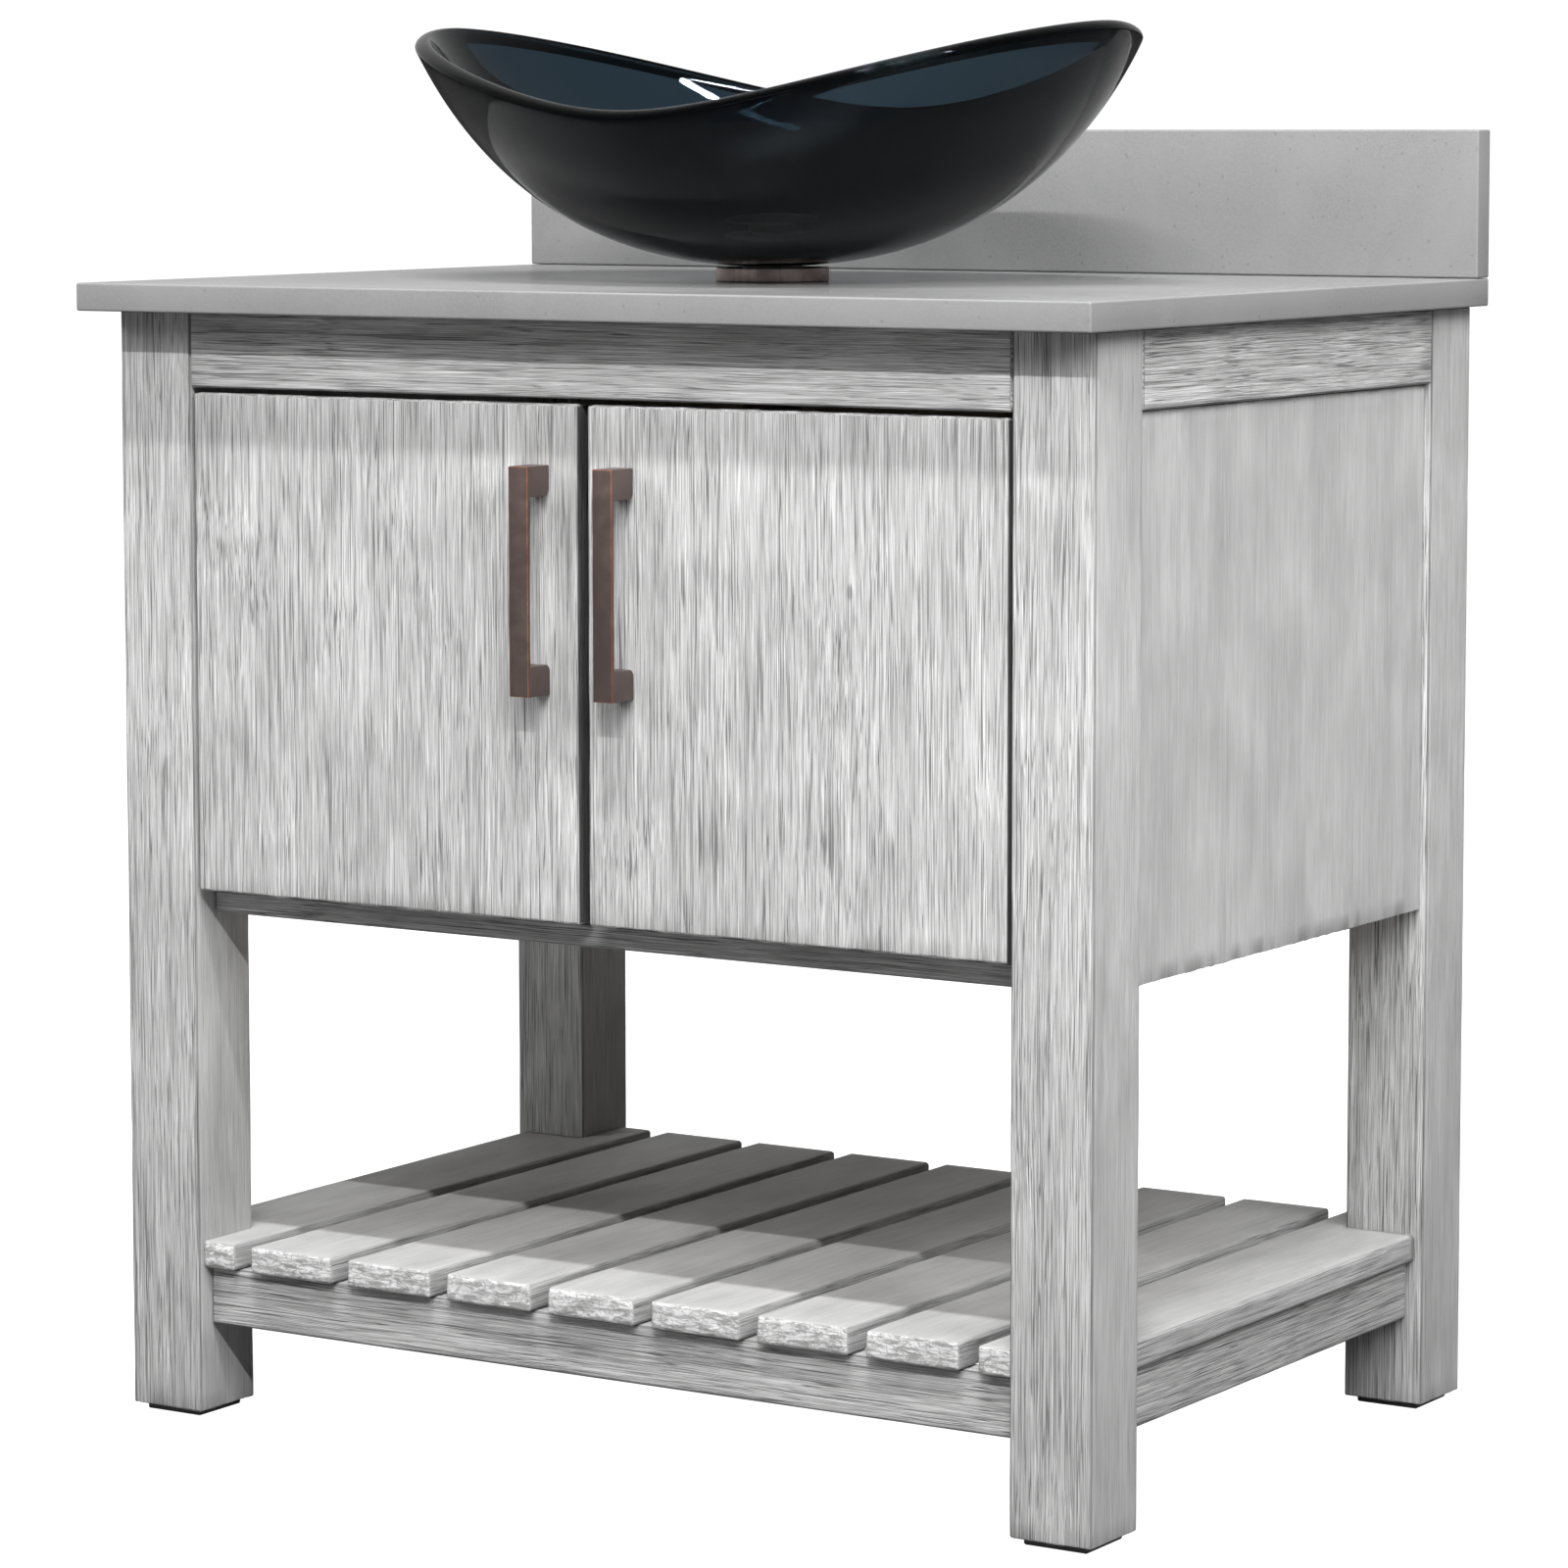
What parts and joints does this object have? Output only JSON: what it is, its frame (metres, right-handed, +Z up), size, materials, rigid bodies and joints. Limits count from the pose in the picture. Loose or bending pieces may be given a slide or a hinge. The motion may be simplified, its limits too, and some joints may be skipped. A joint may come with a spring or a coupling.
{
  "type": "vessel sink on vanity",
  "caption": "Open-shelf timber bathroom vanity with inset doors, a stone top with backsplash, and a boat-shaped smoked-glass vessel basin on a bronze ring with a pop-up drain.",
  "frame": {"origin": "on the floor, under the middle of the countertop", "axes": "+Z up, -Y to the front where the doors are, +X to the right seen from the front"},
  "size_m": [0.787, 0.559, 0.9555],
  "materials": {
    "grey_timber": "light grey wire-brushed timber, matt",
    "grey_stone": "polished mid-grey engineered quartz",
    "smoked_glass": "polished smoked blue-grey glass",
    "aged_bronze": "oil-rubbed bronze on brass, satin",
    "ring_bronze": "brushed antique bronze",
    "plated_steel": "nickel-plated steel",
    "black_rubber": "matt black rubber",
    "plywood": "plain plywood, matt",
    "dark_plastic": "dark moulded plastic"
  },
  "bodies": {
    "cabinet": {"back_panel": "plywood", "backsplash": "grey_stone", "countertop": "grey_stone", "drain_body": "aged_bronze", "drain_cartridge": "dark_plastic", "drain_nut": "aged_bronze", "drain_spring": "plated_steel", "floor_panel": "plywood", "floor_rail": "grey_timber", "glass_basin": "smoked_glass", "mounting_ring": "ring_bronze", "rail_top_front": "grey_timber", "rail_top_left": "grey_timber", "rail_top_rear": "grey_timber", "rail_top_right": "grey_timber", "seal_flange": "black_rubber", "seal_ring": "black_rubber", "seal_underside": "black_rubber", "shelf_rail_front": "grey_timber", "shelf_rail_left": "grey_timber", "shelf_rail_rear": "grey_timber", "shelf_rail_right": "grey_timber", "side_panel_left": "grey_timber", "side_panel_right": "grey_timber", "slat_1": "grey_timber", "slat_2": "grey_timber", "slat_3": "grey_timber", "slat_4": "grey_timber", "slat_5": "grey_timber", "slat_6": "grey_timber", "slat_7": "grey_timber", "slat_8": "grey_timber", "slat_9": "grey_timber", "glide_front_left": "dark_plastic", "glide_front_right": "dark_plastic", "glide_rear_left": "dark_plastic", "glide_rear_right": "dark_plastic", "leg_front_left": "grey_timber", "leg_front_right": "grey_timber", "leg_rear_left": "grey_timber", "leg_rear_right": "grey_timber", "hinge_arm_left_lower": "plated_steel", "hinge_arm_left_upper": "plated_steel", "hinge_arm_right_lower": "plated_steel", "hinge_arm_right_upper": "plated_steel"},
    "door_left": {"door_left": "grey_timber", "handle_left": "aged_bronze", "handle_screw_left_lower": "plated_steel", "handle_screw_left_upper": "plated_steel", "hinge_cup_left_lower": "plated_steel", "hinge_cup_left_upper": "plated_steel"},
    "door_right": {"door_right": "grey_timber", "handle_right": "aged_bronze", "handle_screw_right_lower": "plated_steel", "handle_screw_right_upper": "plated_steel", "hinge_cup_right_lower": "plated_steel", "hinge_cup_right_upper": "plated_steel"},
    "drain_cap": {"drain_cap": "aged_bronze"}
  },
  "joints": [
    {"name": "door_left_hinge", "type": "hinge", "parent": "cabinet", "child": "door_left", "pos_m": [-0.295, -0.2375, 0.538], "axis": [0, 0, -1], "range_deg": [0, 95]},
    {"name": "door_right_hinge", "type": "hinge", "parent": "cabinet", "child": "door_right", "pos_m": [0.295, -0.2375, 0.538], "axis": [0, 0, 1], "range_deg": [0, 95]},
    {"name": "drain_cap_slide", "type": "slide", "parent": "cabinet", "child": "drain_cap", "axis": [0, 0, 1], "range_m": [-0.01, 0], "stiffness_N_per_m": 300, "springref_m": 0.01, "deforming": ["drain_spring"]}
  ]
}
